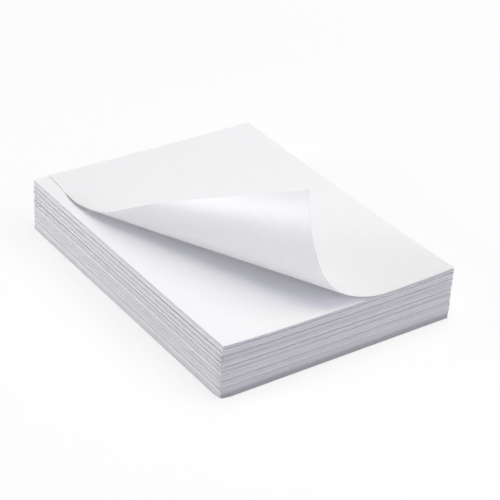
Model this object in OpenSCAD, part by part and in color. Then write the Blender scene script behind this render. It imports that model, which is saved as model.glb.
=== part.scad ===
// A loose pile of inkjet photo paper. The front left corner of its top sheet is curled up and back.
// Millimetres, +Z up. The origin is on the ground under the middle of the pile, +X runs across the
// sheets and +Y along them, away from the curled corner.

/* [Sheets] */
// Width of a sheet
sheet_w = 153; // [100:1:220]
// Length of a sheet
sheet_l = 203; // [160:1:300]
// Thickness of one sheet of paper
sheet_t = 0.3; // [0.2:0.01:0.5]
// Height that one sheet of the loose pile takes up, with the air under it
sheet_rise = 0.336; // [0.22:0.002:0.6]
// How far single sheets of a bundle stand out of line
sheet_jog = 0.1; // [0:0.01:0.3]

// One step by which the bundles of sheets have slipped
slip_step = 0.1; // [0:0.01:0.15]

/* [Top sheet] */
// How far the top sheet's left edge lies inside the pile's left edge
left_inset = 9.8; // [0:0.1:20]
// How far the top sheet's front edge lies behind the pile's front edge
front_inset = 0.5; // [0:0.1:5]

/* [Curl] */
// How far the point that all bend lines run to lies beyond the pile's left edge
fan_left = 28.2; // [15:0.1:60]
// How far that point lies beyond the pile's back edge
fan_back = 29.5; // [10:0.5:60]
// Angle between the left edge and the bend line where the curl begins
fan_angle = 29.9; // [24:0.1:36]
// Fan angle of the stretch in which the paper leaves the pile
rise_span = 5.2; // [3:0.1:7]
// Degrees that the paper turns there for each degree of the fan
rise_rate = 5.3; // [3:0.1:7]
// Fan angle of the tighter stretch that turns the paper over
fold_span = 5.9; // [4:0.1:7]
// Degrees that the paper turns there for each degree of the fan
fold_rate = 10.3; // [7:0.1:12]
// Degrees that the rest turns, up to the corner, for each degree of the fan
tip_rate = 4.55; // [2:0.05:6]
// How far the turned-over edge swells out of a straight line
edge_bow = 3.3; // [0:0.1:6]

/* [Hidden] */
paper = [0.95, 0.95, 0.96];
paper_below = [0.9, 0.9, 0.92];

// Sheets that cling together, from the top of the pile down: how many, and how many steps they
// have slipped to the right and to the back
bundles = [
    [1, 0, -4],
    [1, 1, -2],
    [1, -2, -3],
    [1, -3, -1],
    [4, -1, -5],
    [3, 1, -2],
    [4, -4, -3],
    [5, -1, -5],
    [5, -5, -1],
    [6, 0, -4],
    [5, -3, -2],
    [6, -5, -5],
    [4, -1, -1],
    [4, -4, -5],
    [6, 0, -2],
    [3, -4, -4],
    [3, -2, -1],
    [4, -5, -4],
    [4, -1, -5],
    [5, -3, -1],
    [5, 0, -3],
    [4, -4, -1],
    [4, -1, 0],
    [5, -1, 2],
    [6, 0, 4]
];
singles = ["second_sheet", "third_sheet", "fourth_sheet", "fifth_sheet"];
count = len(bundles);

function two_digits(n) = str(n < 10 ? "0" : "", n);
function bundle_name(i) = i < len(singles) ? singles[i] : str("bundle_", two_digits(i + 1 - len(singles)));

// Heights in the pile
function sheets_under(i) = i >= count - 1 ? 0 : bundles[i + 1][0] + sheets_under(i + 1);
pile_sheets = bundles[0][0] + sheets_under(0);
pile_h = pile_sheets * sheet_rise;

// The pile's outermost edges, which set where its middle is
slips_x = [for (b = bundles) slip_step * b[1]];
slips_y = [for (b = bundles) slip_step * b[2]];
middle = [(sheet_w + min(slips_x) + max(slips_x)) / 2, (sheet_l + min(slips_y) + max(slips_y)) / 2];

// The jogs of single sheets, the same each time
jog_seed = 5;
jogs = rands(-1, 1, 2 * pile_sheets, jog_seed);

// The top sheet's outline on the pile, from the pile's nominal front left corner
top_left = left_inset;
top_right = sheet_w;
top_front = front_inset;
top_back = sheet_l;

// The curl is a cone: its bend lines fan out from one point beyond the sheet
fan_point = [-fan_left, sheet_l + fan_back];
first_line = [sin(fan_angle), -cos(fan_angle)];
across = [-cos(fan_angle), -sin(fan_angle)];
corner_way = [top_left, top_front] - fan_point;
corner_fan = atan2(corner_way * across, corner_way * first_line);
curl_strips = 72;
// Each bend line has four corners: left and front edge below, front and left edge above
line_points = 4;

function solid_dir(v) = [v[0], v[1], 0];
// Turns vector v about the unit vector a
function turned(v, a, angle) = v * cos(angle) + cross(a, v) * sin(angle) + a * (a * v) * (1 - cos(angle));
// A frame is [along the bend line, across it, out of the paper]
flat_frame = [solid_dir(first_line), solid_dir(across), [0, 0, 1]];
function rolled(frame, span, rate) =
    let (axle = rate * frame[0] + frame[2], speed = norm(axle))
    [for (v = frame) turned(v, axle / speed, -span * speed)];
after_rise = rolled(flat_frame, rise_span, rise_rate);
after_fold = rolled(after_rise, fold_span, fold_rate);
function frame_at(fan) =
    fan <= rise_span ? rolled(flat_frame, fan, rise_rate)
    : fan <= rise_span + fold_span ? rolled(after_rise, fan - rise_span, fold_rate)
    : rolled(after_fold, fan - rise_span - fold_span, tip_rate);

// Where a bend line meets the left and the front edge, as distances from the fan's point
function line_way(fan) = first_line * cos(fan) + across * sin(fan);
function to_left(fan) = (top_left - fan_point[0]) / line_way(fan)[0];
function to_front(fan) = (top_front - fan_point[1]) / line_way(fan)[1];
curl_start_y = fan_point[1] + to_left(0) * line_way(0)[1];
function bow(fan) =
    let (y = fan_point[1] + to_left(fan) * line_way(fan)[1])
    edge_bow * pow(sin(180 * (curl_start_y - y) / (curl_start_y - top_front)), 2) / line_way(fan)[0];

// A point of the curled paper, at height h within its thickness
function curl_point(fan, distance, h) =
    let (frame = frame_at(fan))
    [fan_point[0], fan_point[1], pile_h] + distance * frame[0] + h * frame[2];

function strip_points(fan) = [
    curl_point(fan, to_left(fan) - bow(fan), 0),
    curl_point(fan, to_front(fan), 0),
    curl_point(fan, to_front(fan), sheet_t),
    curl_point(fan, to_left(fan) - bow(fan), sheet_t)
];

module top_sheet() {
    lines = [for (i = [0:curl_strips - 1]) each strip_points(corner_fan * i / curl_strips)];
    tip = [for (h = [0, sheet_t]) curl_point(corner_fan, norm(corner_way), h)];
    flat_corners = [[top_left, top_back], [top_right, top_back], [top_right, top_front]];
    rest = [for (c = flat_corners) each [[c[0], c[1], pile_h], [c[0], c[1], pile_h + sheet_t]]];
    t = line_points * curl_strips;
    f = t + 2;
    strips = [for (i = [0:curl_strips - 2]) let (a = line_points * i, b = a + line_points) each [
        [a, a + 1, b + 1, b],
        [a + 2, a + 3, b + 3, b + 2],
        [a + 3, a, b, b + 3],
        [a + 1, a + 2, b + 2, b + 1]
    ]];
    e = t - line_points;
    tip_faces = [[e, e + 1, t], [e + 2, e + 3, t + 1], [e + 3, e, t, t + 1], [e + 1, e + 2, t + 1, t]];
    flat_faces = [
        [0, f, f + 2, f + 4, 1],
        [3, 2, f + 5, f + 3, f + 1],
        [0, 3, f + 1, f],
        [f, f + 1, f + 3, f + 2],
        [f + 2, f + 3, f + 5, f + 4],
        [f + 4, f + 5, 2, 1]
    ];
    color(paper)
        translate([-middle[0], -middle[1], 0])
            polyhedron(points = concat(lines, tip, rest), faces = concat(strips, tip_faces, flat_faces));
}

module bundle(i) {
    under = sheets_under(i);
    color(i % 2 == 0 ? paper : paper_below)
        for (s = [under:under + bundles[i][0] - 1])
            translate([
                slips_x[i] + sheet_jog * jogs[2 * s] - middle[0],
                slips_y[i] + sheet_jog * jogs[2 * s + 1] - middle[1],
                s * sheet_rise
            ])
                cube([sheet_w, sheet_l, sheet_rise]);
}

top_sheet();
for (i = [0:count - 1])
    bundle(i);
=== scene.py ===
# %% [markdown]
# # A loose pile of photo paper with one curled corner
# The real object is a hundred sheets of blank white card, cut square and put down without care.
# Nothing on it is printed or coloured. Its look comes from the slips and gaps between the sheets,
# from the curl of the top sheet, and from the way soft light fades over matt white.
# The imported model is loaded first, as a fixed frame. Every sheet reads its place from it.

# %% Load the frame
import math
import random

import bmesh
import bpy
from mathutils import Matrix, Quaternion, Vector


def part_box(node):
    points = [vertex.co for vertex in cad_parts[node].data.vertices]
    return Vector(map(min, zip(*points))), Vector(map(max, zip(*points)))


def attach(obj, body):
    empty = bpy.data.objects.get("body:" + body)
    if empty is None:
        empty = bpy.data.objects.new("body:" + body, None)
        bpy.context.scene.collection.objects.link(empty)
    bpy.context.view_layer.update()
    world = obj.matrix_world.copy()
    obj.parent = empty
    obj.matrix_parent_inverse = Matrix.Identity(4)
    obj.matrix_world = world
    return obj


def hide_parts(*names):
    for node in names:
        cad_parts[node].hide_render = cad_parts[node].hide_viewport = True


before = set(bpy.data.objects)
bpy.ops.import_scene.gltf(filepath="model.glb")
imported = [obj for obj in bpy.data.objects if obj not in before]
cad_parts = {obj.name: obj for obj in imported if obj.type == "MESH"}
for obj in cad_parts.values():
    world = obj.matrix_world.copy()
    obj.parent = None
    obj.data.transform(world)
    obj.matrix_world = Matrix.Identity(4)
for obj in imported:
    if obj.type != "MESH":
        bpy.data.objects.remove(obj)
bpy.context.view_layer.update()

MM = 0.001

# %% [markdown]
# ## The camera
# The pile is seen from above its front left corner, through a long lens from about a metre away,
# so that its edges stay almost parallel. A camera could be put in place by hand. Here it stands
# at a distance from one aimed point, at a turn and a tilt round it, because three plain numbers
# are easy to compare with a photograph and to correct. The real photograph leans a little, so
# the camera is rolled about its line of sight as well.

# %% Stand the camera
AIM = Vector((6.22, -5.77, 16.16)) * MM
CAMERA_DISTANCE = 971.0 * MM
CAMERA_TURN = math.radians(35.63)
CAMERA_TILT = math.radians(30.92)
CAMERA_ROLL = math.radians(2.87)
CAMERA_LENS = 121.47
NEAREST_SEEN = 50.0 * MM

towards_camera = Vector((
    -math.sin(CAMERA_TURN) * math.cos(CAMERA_TILT),
    -math.cos(CAMERA_TURN) * math.cos(CAMERA_TILT),
    math.sin(CAMERA_TILT),
))
camera = bpy.data.objects.new("camera", bpy.data.cameras.new("camera"))
camera.data.lens = CAMERA_LENS
camera.data.clip_start = NEAREST_SEEN
camera.location = AIM + towards_camera * CAMERA_DISTANCE
level_view = (-towards_camera).to_track_quat("-Z", "Y")
camera.rotation_euler = (level_view @ Quaternion((0, 0, 1), CAMERA_ROLL)).to_euler()
bpy.context.scene.collection.objects.link(camera)
bpy.context.scene.camera = camera
print("Camera stands at, in millimetres", camera.location / MM)

# %% [markdown]
# ## Helpers for materials
# A material is a small network of nodes. These helpers only save typing: one adds a node with its
# settings, one multiplies a colour by a value, one opens a new node group with named sockets, and
# one makes a material that holds a single Principled shader. A group is an effect that several
# materials share.

# %% Define the material helpers
FLOAT = "NodeSocketFloat"
COLOR = "NodeSocketColor"
WHITE = (1.0, 1.0, 1.0, 1.0)


def add_node(tree, kind, inputs=None, **settings):
    """A new node, with its plain settings and the starting values of its inputs."""
    made = tree.nodes.new(kind)
    for name, value in settings.items():
        setattr(made, name, value)
    for name, value in (inputs or {}).items():
        made.inputs[name].default_value = value
    return made


def scaled(tree, colour, factor):
    """The colour of one socket times the value of another."""
    scale = add_node(tree, "ShaderNodeVectorMath", operation="SCALE")
    tree.links.new(colour, scale.inputs[0])
    tree.links.new(factor, scale.inputs["Scale"])
    return scale.outputs[0]


def new_group(name, inputs, outputs):
    """A shader node group with its own input and output nodes."""
    tree = bpy.data.node_groups.new(name, "ShaderNodeTree")
    for socket, (kind, value) in inputs.items():
        tree.interface.new_socket(socket, in_out="INPUT", socket_type=kind).default_value = value
    for socket, kind in outputs.items():
        tree.interface.new_socket(socket, in_out="OUTPUT", socket_type=kind)
    return tree, tree.nodes.new("NodeGroupInput"), tree.nodes.new("NodeGroupOutput")


def new_material(name):
    """A material with nodes, and its Principled shader."""
    material = bpy.data.materials.new(name)
    material.use_nodes = True
    return material, material.node_tree.nodes["Principled BSDF"]


print("Helpers ready")

# %% [markdown]
# ## What paper looks like up close
# Paper is a felt of fibres under a coating. It shows a faint cloudiness some millimetres across
# and a fine tooth of about a tenth of a millimetre. Both could be photographs of paper. Noise
# textures are lighter and never repeat. They read Object coordinates, which are real metres, so
# the grain keeps its true size on every sheet. The group gives a colour and a height, and each
# material decides how strongly it uses them.

# %% Build the paper grain group
CLOUD_SCALE = 180.0
CLOUD_DETAIL = 3.0
TOOTH_SCALE = 5200.0
TOOTH_DETAIL = 2.0
MEAN_NOISE = 0.5


def build_grain_group():
    """Cloudy colour and a fine tooth for a paper surface."""
    tree, given, result = new_group(
        "paper_grain",
        {"Colour": (COLOR, WHITE), "Cloudiness": (FLOAT, 0.0)},
        {"Colour": COLOR, "Height": FLOAT},
    )
    place = add_node(tree, "ShaderNodeTexCoord")
    cloud = add_node(tree, "ShaderNodeTexNoise", {"Scale": CLOUD_SCALE, "Detail": CLOUD_DETAIL})
    tooth = add_node(tree, "ShaderNodeTexNoise", {"Scale": TOOTH_SCALE, "Detail": TOOTH_DETAIL})
    swing = add_node(tree, "ShaderNodeMath", {1: MEAN_NOISE}, operation="SUBTRACT")
    amount = add_node(tree, "ShaderNodeMath", operation="MULTIPLY")
    factor = add_node(tree, "ShaderNodeMath", {1: 1.0}, operation="ADD")
    tree.links.new(place.outputs["Object"], cloud.inputs["Vector"])
    tree.links.new(place.outputs["Object"], tooth.inputs["Vector"])
    tree.links.new(cloud.outputs["Fac"], swing.inputs[0])
    tree.links.new(swing.outputs[0], amount.inputs[0])
    tree.links.new(given.outputs["Cloudiness"], amount.inputs[1])
    tree.links.new(amount.outputs[0], factor.inputs[0])
    clouded = scaled(tree, given.outputs["Colour"], factor.outputs[0])
    tree.links.new(clouded, result.inputs["Colour"])
    tree.links.new(tooth.outputs["Fac"], result.inputs["Height"])
    return tree


paper_grain = build_grain_group()
print("Group", paper_grain.name, "with", len(paper_grain.nodes), "nodes")

# %% [markdown]
# ## A tone and painted shade for every sheet
# No two sheets of a pile look quite the same grey at their edges. Each could have a material of
# its own. Here the tone is a number kept on the sheet's faces, an attribute, because what belongs
# to one sheet has to travel with that sheet. The same number also carries the painted shade and
# painted light that are laid on further down. A second group reads it by its name and multiplies
# a colour by it, and by one more factor that the material can give.

# %% Build the sheet tone group
TONE = "sheet_tone_and_shade"


def build_tone_group():
    """A colour that follows the tone and painted shade of its sheet, and one more factor."""
    tree, given, result = new_group(
        "tone_and_shade_of_sheet",
        {"Colour": (COLOR, WHITE), "Factor": (FLOAT, 1.0)},
        {"Colour": COLOR},
    )
    tone = add_node(tree, "ShaderNodeAttribute", attribute_name=TONE)
    both = add_node(tree, "ShaderNodeMath", operation="MULTIPLY")
    tree.links.new(tone.outputs["Fac"], both.inputs[0])
    tree.links.new(given.outputs["Factor"], both.inputs[1])
    toned = scaled(tree, given.outputs["Colour"], both.outputs[0])
    tree.links.new(toned, result.inputs["Colour"])
    return tree


tone_and_shade_of_sheet = build_tone_group()
print("Group", tone_and_shade_of_sheet.name, "reads the attribute", TONE)

# %% [markdown]
# ## Two faces of photo paper
# Inkjet photo paper has a print side with a satin coating, and a plain back. Under the curl both
# are seen at once. They could be one material with two colours, but two materials let the sheen
# end exactly at the paper's edge. The faint blue of the print side is what brighteners in white
# paper do, and the top sheet's is a shade darker than those below it, as in the photograph: a
# painted shade. The back catches a soft band of light where it curls, so it gets a little more
# shine, and it reads the sheet's tone, with its painted shade towards the tight end of the curl.

# %% Make the print side and the back
TOOTH_DEPTH = 0.02 * MM
PLAIN_SHINE = 0.5


def paper_material(name, colour, cloudiness, roughness, tooth, shine=PLAIN_SHINE, toned=False):
    """Paper with its grain, at a given sheen, shine and strength of tooth."""
    material, shader = new_material(name)
    tree = material.node_tree
    grain_inputs = {"Colour": (*colour, 1.0), "Cloudiness": cloudiness}
    grain = add_node(tree, "ShaderNodeGroup", grain_inputs, node_tree=paper_grain)
    bump = add_node(tree, "ShaderNodeBump", {"Strength": tooth, "Distance": TOOTH_DEPTH})
    base = grain.outputs["Colour"]
    if toned:
        tone = add_node(tree, "ShaderNodeGroup", node_tree=tone_and_shade_of_sheet)
        tree.links.new(base, tone.inputs["Colour"])
        base = tone.outputs["Colour"]
    tree.links.new(base, shader.inputs["Base Color"])
    tree.links.new(grain.outputs["Height"], bump.inputs["Height"])
    tree.links.new(bump.outputs["Normal"], shader.inputs["Normal"])
    shader.inputs["Roughness"].default_value = roughness
    shader.inputs["Specular IOR Level"].default_value = shine
    return material


print_side = paper_material(
    "print_side", colour=(0.925, 0.925, 0.935), cloudiness=0.03, roughness=0.45, tooth=0.15,
)
# The top sheet's print side is darker than the rest by a painted shade
shaded_top_print_side = paper_material(
    "shaded_top_print_side", colour=(0.905, 0.905, 0.915), cloudiness=0.03, roughness=0.45, tooth=0.15,
)
back_side = paper_material(
    "back_side", colour=(0.88, 0.88, 0.872), cloudiness=0.05, roughness=0.4, tooth=0.3,
    shine=0.8, toned=True,
)
print("Materials:", print_side.name, shaded_top_print_side.name, back_side.name)

# %% [markdown]
# ## The cut edge
# The rims are given a greyer colour than the faces. A guillotine leaves the edge of card rougher
# than its faces, with fine upright scratches. They could be modelled, but they are far too many
# and too fine. Here they are noise that is stretched along the height, and the same noise gives
# both the light and dark of the scratches and their depth. The sheet's own tone, with its painted
# shade and light, comes on top.

# %% Make the cut edge
EDGE_COLOUR = (0.78, 0.777, 0.777, 1.0)
EDGE_CLOUDINESS = 0.08
EDGE_ROUGHNESS = 0.8
SCRATCH_SCALE = (2600.0, 2600.0, 160.0)
SCRATCH_DETAIL = 2.0
SCRATCH_DARK = 0.93
SCRATCH_LIGHT = 1.03
SCRATCH_STRENGTH = 0.5
SCRATCH_DEPTH = 0.03 * MM


def edge_material():
    """The rim of a sheet, with its own tone, scratches and grain."""
    material, shader = new_material("cut_edge")
    tree = material.node_tree
    place = add_node(tree, "ShaderNodeTexCoord")
    stretch = add_node(tree, "ShaderNodeMapping", {"Scale": SCRATCH_SCALE})
    scratch = add_node(tree, "ShaderNodeTexNoise", {"Scale": 1.0, "Detail": SCRATCH_DETAIL})
    ramp = add_node(tree, "ShaderNodeMapRange", {"To Min": SCRATCH_DARK, "To Max": SCRATCH_LIGHT})
    grain_inputs = {"Colour": EDGE_COLOUR, "Cloudiness": EDGE_CLOUDINESS}
    grain = add_node(tree, "ShaderNodeGroup", grain_inputs, node_tree=paper_grain)
    tone = add_node(tree, "ShaderNodeGroup", node_tree=tone_and_shade_of_sheet)
    bump = add_node(tree, "ShaderNodeBump", {"Strength": SCRATCH_STRENGTH, "Distance": SCRATCH_DEPTH})
    tree.links.new(place.outputs["Object"], stretch.inputs["Vector"])
    tree.links.new(stretch.outputs["Vector"], scratch.inputs["Vector"])
    tree.links.new(scratch.outputs["Fac"], ramp.inputs["Value"])
    tree.links.new(grain.outputs["Colour"], tone.inputs["Colour"])
    tree.links.new(ramp.outputs["Result"], tone.inputs["Factor"])
    tree.links.new(tone.outputs["Colour"], shader.inputs["Base Color"])
    tree.links.new(scratch.outputs["Fac"], bump.inputs["Height"])
    tree.links.new(bump.outputs["Normal"], shader.inputs["Normal"])
    shader.inputs["Roughness"].default_value = EDGE_ROUGHNESS
    return material


cut_edge = edge_material()
PILE_FACES = [print_side, cut_edge, back_side]
TOP_FACES = [shaded_top_print_side, cut_edge, back_side]
PRINT_SIDE, CUT_EDGE, BACK_SIDE = range(3)
print("Material:", cut_edge.name)

# %% [markdown]
# ## One flat sheet
# Every sheet of the pile starts as the same flat card: a grid, whose four corners are rounded
# off very slightly by a vertex bevel, pulled up by the thickness of the paper. A plane with a
# Solidify modifier would give the same card. Pulling it up in the mesh has one advantage: the
# rim's faces are at hand, so they take the edge material and their borders are marked sharp.

# %% Define the flat sheet
PAPER_T = 0.29 * MM
CORNER_R = 0.5 * MM
CORNER_SEGMENTS = 3
HALF = 0.5
# A face looks along a direction when its normal has more than this share of it
FACING = 0.5


def flat_sheet(width, length, across, along):
    """A card with its front left corner at the origin, of across by along cells."""
    card = bmesh.new()
    bmesh.ops.create_grid(card, x_segments=across, y_segments=along, size=HALF)
    bmesh.ops.translate(card, vec=(HALF, HALF, 0), verts=card.verts)
    bmesh.ops.scale(card, vec=(width, length, 1), verts=card.verts)
    corners = [v for v in card.verts if len(v.link_edges) == 2]
    bmesh.ops.bevel(card, geom=corners, offset=CORNER_R, segments=CORNER_SEGMENTS, profile=0.5,
                    affect="VERTICES", material=-1)
    pulled = bmesh.ops.extrude_face_region(card, geom=card.faces[:])["geom"]
    lifted = [part for part in pulled if isinstance(part, bmesh.types.BMVert)]
    bmesh.ops.translate(card, vec=(0, 0, PAPER_T), verts=lifted)
    bmesh.ops.recalc_face_normals(card, faces=card.faces)
    card.normal_update()
    for face in card.faces:
        rim = abs(face.normal.z) < FACING
        face.material_index = CUT_EDGE if rim else (PRINT_SIDE if face.normal.z > 0 else BACK_SIDE)
        face.smooth = not rim
    for edge in card.edges:
        kinds = {face.material_index for face in edge.link_faces}
        edge.smooth = len(kinds) == 1
    return card


sample = flat_sheet(width=1, length=1, across=4, along=4)
sample_closed = all(edge.is_manifold for edge in sample.edges)
print("A card of 4 by 4 cells has", len(sample.faces), "faces, closed:", sample_closed)
sample.free()

# %% [markdown]
# ## How the pile sags
# A stiff sheet dries with its corners a little higher than the middles of its edges, and a pile
# of such sheets is loose at its corners and close in between. The heights could be left to a
# simulation. A short formula is enough, because the shape is so simple: each corner stands at a
# height of its own, and between two corners every edge dips in a smooth curve, the front most.

# %% Define the pile's height
FRONT_LEFT_RISE = 0.9 * MM
FRONT_RIGHT_RISE = -0.1 * MM
BACK_LEFT_RISE = 0.65 * MM
BACK_RIGHT_RISE = 0.3 * MM
FRONT_DIP = 1.5 * MM
BACK_DIP = 0.8 * MM
LEFT_DIP = 0.3 * MM
RIGHT_DIP = 1.2 * MM
DIP_POWER = 3

second_low, second_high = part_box("second_sheet")
top_low, top_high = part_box("top_sheet")
SHEET_W = second_high.x - second_low.x
SHEET_L = second_high.y - second_low.y
SHEET_RISE = second_high.z - second_low.z
PILE_TOP = top_low.z
pile_corner = Vector((top_high.x - SHEET_W, top_high.y - SHEET_L))


def between(start, end, share):
    """The value at a share of the way from start to end."""
    return start + (end - start) * share


def dip(share):
    """A smooth curve, 0 at both ends of an edge and 1 in its middle."""
    return 1 - abs(2 * share - 1) ** DIP_POWER


def rise(u, v):
    """How far the pile's top stands above its even height, for shares u to the right, v to the back."""
    front = between(FRONT_LEFT_RISE, FRONT_RIGHT_RISE, u) - FRONT_DIP * dip(u)
    back = between(BACK_LEFT_RISE, BACK_RIGHT_RISE, u) - BACK_DIP * dip(u)
    return between(front, back, v) - between(LEFT_DIP, RIGHT_DIP, u) * dip(v)


print("Middle of the front edge", round(rise(0.5, 0) / MM, 2), "mm above the even height")
print("Middle of the left edge", round(rise(0, 0.5) / MM, 2), "mm above the even height")

# %% [markdown]
# ## Gaps between the sheets
# Sheets that were cut or packed together cling to each other, and the air of a loose pile
# collects between these bundles. That is why a pile shows a few clear dark lines and not a
# hundred. The spare height could be spread evenly. Instead each gap gets a share of it, small
# inside a bundle, and larger between bundles where a line shows thick. A gap has four shares,
# because its line can swell and thin out round the pile's corner: two for the left edge, at its
# back and front, and two for the front edge, at its left and right. The table names a wide gap
# by the piece above it. A slow wave opens and closes each gap along the edge. All random numbers
# come from one seeded source.

# %% Share out the spare height
NODE_ORDER = sorted(
    (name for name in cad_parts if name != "top_sheet"),
    key=lambda name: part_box(name)[0].z,
)
CLING_GAP = (0.04, 0.035, 0.015, 0.02)
BORDER_GAP = (0.05, 0.05, 0.03, 0.035)
WIDE_GAPS = {
    "top_sheet": (0.2, 0.05, 0.02, 0.6),
    "second_sheet": (0.25, 0.35, 0.2, 0.02),
    "fifth_sheet": (0.4, 0.05, 0.6, 0.6),
    "bundle_01": (0.4, 0.05, 0.1, 0.05),
    "bundle_02": (0.08, 0.25, 0.05, 0.04),
    "bundle_03": (0.05, 0.12, 0.75, 0.35),
    "bundle_04": (0.04, 0.04, 0.05, 0.05),
    "bundle_05": (0.4, 0.08, 0.15, 0.05),
    "bundle_06": (0.04, 0.04, 0.05, 0.2),
    "bundle_07": (0.4, 0.45, 0.6, 0.6),
    "bundle_08": (0.15, 0.05, 0.05, 0.1),
    "bundle_09": (0.04, 0.04, 0.05, 0.25),
    "bundle_10": (0.04, 0.04, 0.3, 0.05),
    "bundle_13": (0.04, 0.04, 0.2, 0.2),
    "bundle_15": (0.15, 0.12, 0.1, 0.1),
    "bundle_16": (0.04, 0.04, 0.25, 0.1),
    "bundle_17": (0.04, 0.04, 0.15, 0.25),
}
GAP_SWING = 0.2
GAP_WAVES = 0.8
TINY = 1e-6
SEED = 11
chance = random.Random(SEED)


def sheets_in(name):
    """How many sheets a node of the frame stands for."""
    low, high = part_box(name)
    return round((high.z - low.z) / SHEET_RISE)


def new_gap(widths):
    """A gap's widths, and the direction and start of the wave that opens and closes it."""
    waves_right = chance.uniform(-GAP_WAVES, GAP_WAVES)
    waves_back = chance.uniform(-GAP_WAVES, GAP_WAVES)
    return widths, waves_right, waves_back, chance.uniform(0, math.tau)


def open_gap(gap, u, v):
    """How far a gap wants to open at one place."""
    widths, waves_right, waves_back, start = gap
    left_back, left_front, front_left, front_right = widths
    on_left = between(left_front, left_back, v)
    on_front = between(front_left, front_right, u)
    width = between(on_left, on_front, u / max(u + v, TINY))
    return width * (1 + GAP_SWING * math.sin(math.tau * (waves_right * u + waves_back * v) + start))


gaps = []
for below, name in enumerate(NODE_ORDER):
    above = NODE_ORDER[below + 1] if below + 1 < len(NODE_ORDER) else "top_sheet"
    gaps += [new_gap(CLING_GAP) for _ in range(sheets_in(name) - 1)]
    gaps.append(new_gap(WIDE_GAPS.get(above, BORDER_GAP)))
print(len(NODE_ORDER), "bundles and single sheets hold", len(gaps), "sheets")

# %% [markdown]
# ## Laying the sheets
# One card is made and used a hundred times. For each of its points the height of every sheet is
# summed up from the table: thickness, gap, thickness, gap. Two sheets can then never meet, however
# the gaps swing. An Array modifier would be quicker to write, but all its sheets would be equal.

# %% Work out every sheet's heights
CARD_ACROSS = 24
CARD_ALONG = 32

card = flat_sheet(SHEET_W, SHEET_L, CARD_ACROSS, CARD_ALONG)
card_mesh = bpy.data.meshes.new("card")
card.to_mesh(card_mesh)
card_points = [v.co.copy() for v in card.verts]
card_faces = [
    (face.material_index == CUT_EDGE, face.normal.copy(), face.calc_center_median())
    for face in card.faces
]
card.free()


def sheet_heights(u, v):
    """The height of each sheet's underside at one place of the pile, and last that of the pile's top."""
    wanted = [open_gap(gap, u, v) for gap in gaps]
    spare = PILE_TOP + rise(u, v) - len(gaps) * PAPER_T
    heights = [0.0]
    for width in wanted:
        heights.append(heights[-1] + PAPER_T + spare * width / sum(wanted))
    return heights


card_heights = [sheet_heights(p.x / SHEET_W, p.y / SHEET_L) for p in card_points]
near_corner = round(card_heights[0][-1] / MM, 2)
print("Card of", len(card_points), "points, pile", near_corner, "mm high near its front left corner")

# %% [markdown]
# ## Wear, and painted shade and light on the edges
# The lowest sheets carry the whole pile and have rubbed on many tables, so their corners are
# blunt. The pile also shades its own foot, most on the front, which is turned away from the
# light and is a little darker all over. At an open gap the sheet below lies in shade, and the
# sheet above stands out and catches light. Small lamps could draw all that. Wide soft lamps light
# a pile too evenly, so this shade and light are painted into the tone that every sheet carries
# anyway: one factor of painted shade for the foot and one of painted shade and light for the
# gaps, each stronger on the front than on the other sides.

# %% Define wear and shade
WEAR = 1.1 * MM
WEAR_HEIGHT = 3.5 * MM
WEAR_REACH = 3.0 * MM
# Painted shade: the tone of the whole side, the share lost at the ground, and the heights where
# that loss is full and where it is over
FRONT_FOOT_SHADE = (0.92, 0.35, 2.0 * MM, 6.5 * MM)
SIDE_FOOT_SHADE = (1.0, 0.1, 0.5 * MM, 3.0 * MM)
# Painted shade that a sheet loses under an open gap, and painted light that it gains above one
FRONT_GAP_SHADE_AND_LIGHT = (0.65, 0.25)
SIDE_GAP_SHADE_AND_LIGHT = (0.25, 0.12)
FULL_GAP = 0.35


def clamped(value):
    """The value, kept between 0 and 1."""
    return min(max(value, 0.0), 1.0)


def smooth_share(value, low, high):
    """A smooth step from 0 at low to 1 at high."""
    share = clamped((value - low) / (high - low))
    return share * share * (3 - 2 * share)


def painted_foot_shade(height, normal):
    """The painted shade of a rim, for its height above the table and the side that it faces."""
    whole, shade, dark, light = FRONT_FOOT_SHADE if normal.y < -FACING else SIDE_FOOT_SHADE
    return whole * (1 - shade * (1 - smooth_share(height, dark, light)))


def openness(number, u, v):
    """How open the gap above a sheet is, with 1 for a wide one."""
    return min(1.0, open_gap(gaps[number], u, v) / FULL_GAP)


def painted_gap_shade_and_light(number, normal, middle):
    """The painted shade and light of a rim next to gaps: shaded below an open one, and lit above one."""
    u = clamped(middle.x / SHEET_W)
    v = clamped(middle.y / SHEET_L)
    shade, light = FRONT_GAP_SHADE_AND_LIGHT if normal.y < -FACING else SIDE_GAP_SHADE_AND_LIGHT
    tone = 1 - shade * openness(number, u, v)
    if number > 0:
        tone += light * openness(number - 1, u, v)
    return tone


def worn(point, height):
    """A card's point, drawn in where a low sheet's front left corner is blunt."""
    wear = WEAR * (1 - smooth_share(height, 0.0, WEAR_HEIGHT))
    pull = wear * max(0.0, 1 - (point.x + point.y) / WEAR_REACH)
    return point.x + pull, point.y + pull


print("Front rims at the ground have", round(painted_foot_shade(0.0, Vector((0, -1, 0))), 2), "of their tone")

# %% [markdown]
# ## Building the bundles
# Each bundle becomes one piece that stands for its node of the frame. Its sheets lie where the
# node's box lets them: the box is a little larger than a sheet, and each sheet is put somewhere
# inside that play. A bundle is turned by a trace, and its sheets by less, because people square
# up a pile with their hands and never get it quite right.

# %% Build the bundles
BUNDLE_TURN = math.radians(0.06)
SHEET_TURN = math.radians(0.015)
BUNDLE_TONES = (0.93, 1.06)
SHEET_TONES = (0.86, 1.12)


def finish_piece(name, shape, node, materials):
    """Makes the bmesh an object that stands for a node of the frame."""
    mesh = bpy.data.meshes.new(name)
    shape.to_mesh(mesh)
    shape.free()
    for material in materials:
        mesh.materials.append(material)
    piece = bpy.data.objects.new(name, mesh)
    bpy.context.scene.collection.objects.link(piece)
    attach(piece, "root")
    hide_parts(node)
    return piece


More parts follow.
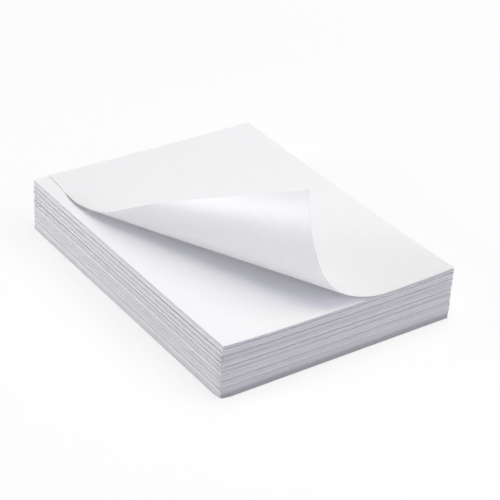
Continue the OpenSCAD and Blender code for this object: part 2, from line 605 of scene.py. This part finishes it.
def add_sheet(shape, tone_and_shade_layer, number, place, turn, tone):
    """Adds sheet number of the pile, counted from the ground, with its front left corner at place."""
    points = len(shape.verts)
    faces = len(shape.faces)
    shape.from_mesh(card_mesh)
    shape.verts.ensure_lookup_table()
    shape.faces.ensure_lookup_table()
    for point, heights, vertex in zip(card_points, card_heights, shape.verts[points:]):
        x, y = worn(point, heights[number])
        x -= SHEET_W / 2
        y -= SHEET_L / 2
        vertex.co = (
            x - turn * y + SHEET_W / 2 + place.x,
            y + turn * x + SHEET_L / 2 + place.y,
            heights[number] + point.z,
        )
    # The sheet's height near the front left corner stands for the whole rim
    height = card_heights[0][number]
    for (rim, normal, middle), face in zip(card_faces, shape.faces[faces:]):
        face[tone_and_shade_layer] = tone
        # Rims take painted shade at the foot, and painted shade and light next to gaps
        if rim:
            face[tone_and_shade_layer] *= painted_foot_shade(height, normal) * painted_gap_shade_and_light(number, normal, middle)


def build_bundle(name, first):
    """All the sheets of one node, slipped as the node is and jogged inside its box."""
    low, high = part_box(name)
    room = Vector((high.x - low.x - SHEET_W, high.y - low.y - SHEET_L))
    turn = chance.uniform(-BUNDLE_TURN, BUNDLE_TURN)
    bundle_tone = chance.uniform(*BUNDLE_TONES)
    shape = bmesh.new()
    tone_and_shade_layer = shape.faces.layers.float.new(TONE)
    for number in range(first, first + sheets_in(name)):
        place = Vector((low.x + room.x * chance.random(), low.y + room.y * chance.random()))
        sheet_turn = turn + chance.uniform(-SHEET_TURN, SHEET_TURN)
        tone = bundle_tone * chance.uniform(*SHEET_TONES)
        add_sheet(shape, tone_and_shade_layer, number, place, sheet_turn, tone)
    return finish_piece(name + "_paper", shape, name, PILE_FACES)


laid = 0
for name in NODE_ORDER:
    bundle = build_bundle(name, laid)
    laid += sheets_in(name)
print("Laid", laid, "sheets")
print("The last piece is", bundle.name, "with", len(bundle.data.polygons), "faces")

# %% [markdown]
# ## The curl
# Paper bends in one direction at a time, so every curl is ruled by straight lines. Here they fan
# out from one point beyond the sheet, which makes the curl a cone: tight at the left edge, wide
# at the front. A Bend modifier makes only cylinders. Instead the paper's three directions, along
# the line, across it and out of the paper, are turned step by step as the fan opens, and each
# flat point rides on the directions of its own line. The numbers are those of the frame's sheet.

# %% Turn the paper's directions along the fan
FAN_LEFT = 28.2 * MM
FAN_BACK = 29.5 * MM
FAN_ANGLE = math.radians(29.9)
RISE_SPAN = math.radians(5.2)
RISE_RATE = 5.3
FOLD_SPAN = math.radians(5.9)
FOLD_RATE = 10.3
TIP_RATE = 4.55

fan_point = pile_corner + Vector((-FAN_LEFT, SHEET_L + FAN_BACK))
first_line = Vector((math.sin(FAN_ANGLE), -math.cos(FAN_ANGLE)))
across_line = Vector((-math.cos(FAN_ANGLE), -math.sin(FAN_ANGLE)))
UP = Vector((0, 0, 1))


def rolled(directions, span, rate):
    """The paper's directions after a stretch of the fan, at a rate of the paper's turn to the fan's."""
    along, across, out = directions
    axle = rate * along + out
    turn = Quaternion(axle, -span * axle.length)
    return [turn @ direction for direction in directions]


flat_paper = [first_line.to_3d(), across_line.to_3d(), UP]
after_rise = rolled(flat_paper, RISE_SPAN, RISE_RATE)
after_fold = rolled(after_rise, FOLD_SPAN, FOLD_RATE)


def paper_at(fan):
    """The paper's directions at an angle of the fan."""
    if fan <= RISE_SPAN:
        return rolled(flat_paper, fan, RISE_RATE)
    if fan <= RISE_SPAN + FOLD_SPAN:
        return rolled(after_rise, fan - RISE_SPAN, FOLD_RATE)
    return rolled(after_fold, fan - RISE_SPAN - FOLD_SPAN, TIP_RATE)


print("Out of the paper after the fold:", after_fold[2])

# %% [markdown]
# ## Where real paper leaves the cone
# A cone has perfectly straight lines, and paper that has been handled doesn't. Its turned-over
# edge swells outwards, as damp paper does. Near the left edge the sheet comes up a little before
# its curl begins, and bulges out over the sheet below. These could be sculpted by hand. Small
# smooth bumps, added to the place of each point, are easier to set against a photograph and
# leave the rest of the cone as it is.

# %% Define the swells and the early lift
TOP_LEFT = 9.8 * MM
TOP_FRONT = -0.2 * MM
EDGE_BOW = 3.3 * MM
EARLY_SWELL = 2.7 * MM
EARLY_MIDDLE = 161 * MM
EARLY_SPREAD = 20 * MM
EARLY_LIFT = 1.2 * MM
EARLY_REACH = 60 * MM
# The fan angles where the lift starts, is full, begins to go and has gone
EARLY_FAN = [math.radians(angle) for angle in (-6, 1, 3, 10)]
# The bend line at the very tip has no length, and is taken to be this long
SHORTEST_LINE = 1.0 * MM

flat_corner = pile_corner + Vector((TOP_LEFT, TOP_FRONT))
swell_start_y = fan_point.y - (flat_corner.x - fan_point.x) / math.tan(FAN_ANGLE)


def bend_line(fan):
    """How far out a bend line crosses the left edge and the front edge, and its direction."""
    line = first_line * math.cos(fan) + across_line * math.sin(fan)
    return (flat_corner.x - fan_point.x) / line.x, (flat_corner.y - fan_point.y) / line.y, line


def near_left(fan, distance):
    """1 at the left edge, falling to 0 some way inside it."""
    return max(0.0, 1 - (distance - bend_line(fan)[0]) / EARLY_REACH) ** 2


def edge_swell(fan, distance):
    """How far a point is pushed out along its bend line by the swell of the edges."""
    at_left, at_front, line = bend_line(fan)
    edge_y = fan_point.y + at_left * line.y
    early = EARLY_SWELL * math.exp(-((edge_y - pile_corner.y - EARLY_MIDDLE) / EARLY_SPREAD) ** 2)
    swell = early * near_left(fan, distance)
    if fan > 0:
        edge_share = (swell_start_y - edge_y) / (swell_start_y - flat_corner.y)
        full = EDGE_BOW * math.sin(math.pi * min(edge_share, 1.0)) ** 2
        swell += full * (at_front - distance) / max(at_front - at_left, SHORTEST_LINE)
    return swell / line.x


def early_lift(fan, distance):
    """How far the paper has come up before its curl begins."""
    start, full, still, end = EARLY_FAN
    height = EARLY_LIFT * smooth_share(fan, start, full) * (1 - smooth_share(fan, still, end))
    return height * near_left(fan, distance)


curl_start = round((swell_start_y - pile_corner.y) / MM, 1)
print("On the left edge the curl begins", curl_start, "mm from the front")

# %% [markdown]
# ## The top sheet
# The top sheet starts as the same flat card, only with a finer grid, because its curl is seen
# close and its outline has to stay round. It is a little narrower than the rest. Each point is
# then bent, with its height inside the paper measured out of the bent paper, so that the card
# keeps its thickness. Where it lies flat it follows the pile's sag, and the sag fades out where
# the paper leaves the pile. Little light gets into the tight end of the curl, so a painted shade
# darkens the sheet's tone towards the fan's point.

# %% Bend the top sheet
TOP_ACROSS = 104
TOP_ALONG = 148
RISE_FADE = math.radians(6)
# Painted shade at the tight end of the curl: its tone there, and the distances from the fan's point over
# which it fades out
FOLD_SHADE = 0.9
FOLD_SHADE_FADE = (110 * MM, 260 * MM)


def bent(point):
    """Where a point of the flat top sheet lies once its corner is curled."""
    u = (point.x - pile_corner.x) / SHEET_W
    v = (point.y - pile_corner.y) / SHEET_L
    way = point.to_2d() - fan_point
    fan = math.atan2(way.dot(across_line), way.dot(first_line))
    along = bend_line(fan)[2].to_3d()
    out = UP
    if fan > 0:
        along, _, out = paper_at(fan)
    on_pile = 1 - smooth_share(fan, 0.0, RISE_FADE)
    height = PILE_TOP + rise(u, v) * on_pile + early_lift(fan, way.length)
    start = Vector((fan_point.x, fan_point.y, height))
    return start + along * (way.length - edge_swell(fan, way.length)) + out * point.z


def build_top_sheet():
    """The narrower top sheet, flat at first and then curled."""
    width = SHEET_W - TOP_LEFT
    length = SHEET_L - TOP_FRONT
    shape = flat_sheet(width, length, TOP_ACROSS, TOP_ALONG)
    tone_and_shade_layer = shape.faces.layers.float.new(TONE)
    # Painted shade that darkens the tone towards the tight end of the curl
    for face in shape.faces:
        distance = (face.calc_center_median().to_2d() + flat_corner - fan_point).length
        face[tone_and_shade_layer] = between(FOLD_SHADE, 1.0, smooth_share(distance, *FOLD_SHADE_FADE))
    for vertex in shape.verts:
        vertex.co = bent(vertex.co + flat_corner.to_3d())
    return finish_piece("top_sheet_paper", shape, "top_sheet", TOP_FACES)


top_sheet = build_top_sheet()
curl_top = max(v.co.z for v in top_sheet.data.vertices)
print("Top sheet:", len(top_sheet.data.polygons), "faces")
print("Its tip stands", round((curl_top - PILE_TOP) / MM, 1), "mm above the pile")

# %% [markdown]
# ## The sky of the studio
# White paper shows its shape only by shades of grey, so the room around it matters. A plain white
# world would fill every shade. Here the sky gives only a trace of blue light, which tints the
# shadows as in the photograph. For the camera and for reflections the surroundings are plain
# white instead. A material or a world can tell the two apart by the kind of ray that meets it.

# %% Light the world
SKY_STRENGTH = 0.05
SKY_COLOUR = (0.3, 0.3, 1.0, 1.0)


def looked_at(tree):
    """A socket that is 1 for rays from the camera, a reflection or glass, and 0 for light's own."""
    path = add_node(tree, "ShaderNodeLightPath")
    seen = path.outputs["Is Camera Ray"]
    for kind in ("Is Glossy Ray", "Is Transmission Ray"):
        either = add_node(tree, "ShaderNodeMath", operation="MAXIMUM")
        tree.links.new(seen, either.inputs[0])
        tree.links.new(path.outputs[kind], either.inputs[1])
        seen = either.outputs[0]
    return seen


def light_world():
    """A soft sky for light, and plain white for what looks at it."""
    world = bpy.data.worlds.new("studio")
    world.use_nodes = True
    tree = world.node_tree
    sky = tree.nodes["Background"]
    sky.inputs["Color"].default_value = SKY_COLOUR
    sky.inputs["Strength"].default_value = SKY_STRENGTH
    white = add_node(tree, "ShaderNodeBackground", {"Color": WHITE, "Strength": 1.0})
    mix = add_node(tree, "ShaderNodeMixShader")
    tree.links.new(looked_at(tree), mix.inputs["Fac"])
    tree.links.new(sky.outputs[0], mix.inputs[1])
    tree.links.new(white.outputs[0], mix.inputs[2])
    tree.links.new(mix.outputs[0], tree.nodes["World Output"].inputs["Surface"])
    bpy.context.scene.world = world


light_world()
print("Sky of strength", SKY_STRENGTH, "and colour", SKY_COLOUR[:3])

# %% [markdown]
# ## The lamps
# Five square lamps stand for a studio with windows. The one overhead makes the top lightest. The
# low one on the left lights the left side and shines under the curl, whose inside would be dark
# without it. The ones at the back and on the right throw the curl's soft shadow on the sheet
# below. The one at the front right is bluish, which makes the front the coolest side. A single
# large lamp would be simpler, but it couldn't set the tone of each side by itself. The view
# transform stays Standard, so a colour renders about as it is written.

# %% Hang the lamps
LAMP_DISTANCE = 1.5


def hang_lamp(name, turn, lift, size, power, colour):
    """A square lamp facing the pile, turned from the back to the right and lifted, in degrees."""
    turn = math.radians(turn)
    lift = math.radians(lift)
    place = LAMP_DISTANCE * Vector((
        math.sin(turn) * math.cos(lift),
        math.cos(turn) * math.cos(lift),
        math.sin(lift),
    ))
    data = bpy.data.lights.new(name, "AREA")
    data.size = size
    data.energy = power
    data.color = colour
    lamp = bpy.data.objects.new(name, data)
    lamp.location = place
    lamp.rotation_euler = (-place).to_track_quat("-Z", "Y").to_euler()
    bpy.context.scene.collection.objects.link(lamp)


hang_lamp("above", turn=0, lift=90, size=0.9, power=9.1, colour=(1.0, 1.0, 0.89))
hang_lamp("back", turn=60, lift=60, size=0.6, power=4.1, colour=(0.78, 0.78, 1.0))
hang_lamp("right", turn=120, lift=50, size=0.9, power=6.0, colour=(1.0, 1.0, 0.62))
hang_lamp("left", turn=-70, lift=16, size=0.6, power=11.8, colour=(0.96, 0.96, 1.0))
hang_lamp("front right", turn=160, lift=30, size=0.9, power=8.0, colour=(0.73, 0.72, 1.0))
bpy.context.scene.view_settings.view_transform = "Standard"
print(len(bpy.data.lights), "lamps hang", LAMP_DISTANCE, "m away")

# %% [markdown]
# ## The floor
# The floor is a wide pale sheet that takes the pile's shadow. Seen by the camera it is mostly
# plain white, with part of its own shading mixed in: the picture keeps a white ground and the
# pile still stands on something. Away from the pile the rest of the shading fades out too, so
# that no horizon shows.

# %% Lay the floor
FLOOR_SIZE = 8.0
FLOOR_DROP = 0.02 * MM
FLOOR_COLOUR = (0.93, 0.93, 0.94, 1.0)
FLOOR_ROUGHNESS = 0.9
FLOOR_SHADING = 0.3
FLOOR_WHITE = 1.04
FADE_START = 0.25
FADE_END = 0.9


def floor_material():
    """Pale and matt, and nearly white for the camera."""
    material, shader = new_material("pale_floor")
    tree = material.node_tree
    shader.inputs["Base Color"].default_value = FLOOR_COLOUR
    shader.inputs["Roughness"].default_value = FLOOR_ROUGHNESS
    shader.inputs["Specular IOR Level"].default_value = 0.0
    white = add_node(tree, "ShaderNodeEmission", {"Color": WHITE, "Strength": FLOOR_WHITE})
    place = add_node(tree, "ShaderNodeTexCoord")
    away = add_node(tree, "ShaderNodeVectorMath", operation="LENGTH")
    fade = add_node(tree, "ShaderNodeMapRange", {
        "From Min": FADE_START, "From Max": FADE_END, "To Min": 1 - FLOOR_SHADING, "To Max": 1.0,
    }, interpolation_type="SMOOTHSTEP")
    amount = add_node(tree, "ShaderNodeMath", operation="MULTIPLY")
    mix = add_node(tree, "ShaderNodeMixShader")
    tree.links.new(place.outputs["Object"], away.inputs[0])
    tree.links.new(away.outputs["Value"], fade.inputs["Value"])
    tree.links.new(fade.outputs["Result"], amount.inputs[0])
    tree.links.new(looked_at(tree), amount.inputs[1])
    tree.links.new(amount.outputs[0], mix.inputs["Fac"])
    tree.links.new(shader.outputs[0], mix.inputs[1])
    tree.links.new(white.outputs[0], mix.inputs[2])
    tree.links.new(mix.outputs[0], tree.nodes["Material Output"].inputs["Surface"])
    return material


def lay_floor():
    """A flat square under the pile."""
    shape = bmesh.new()
    bmesh.ops.create_grid(shape, x_segments=1, y_segments=1, size=FLOOR_SIZE / 2)
    bmesh.ops.translate(shape, vec=(0, 0, -FLOOR_DROP), verts=shape.verts)
    mesh = bpy.data.meshes.new("floor")
    shape.to_mesh(mesh)
    shape.free()
    mesh.materials.append(floor_material())
    floor = bpy.data.objects.new("floor", mesh)
    bpy.context.scene.collection.objects.link(floor)
    return floor


floor = lay_floor()
print("The", floor.name, "is", FLOOR_SIZE, "m wide")
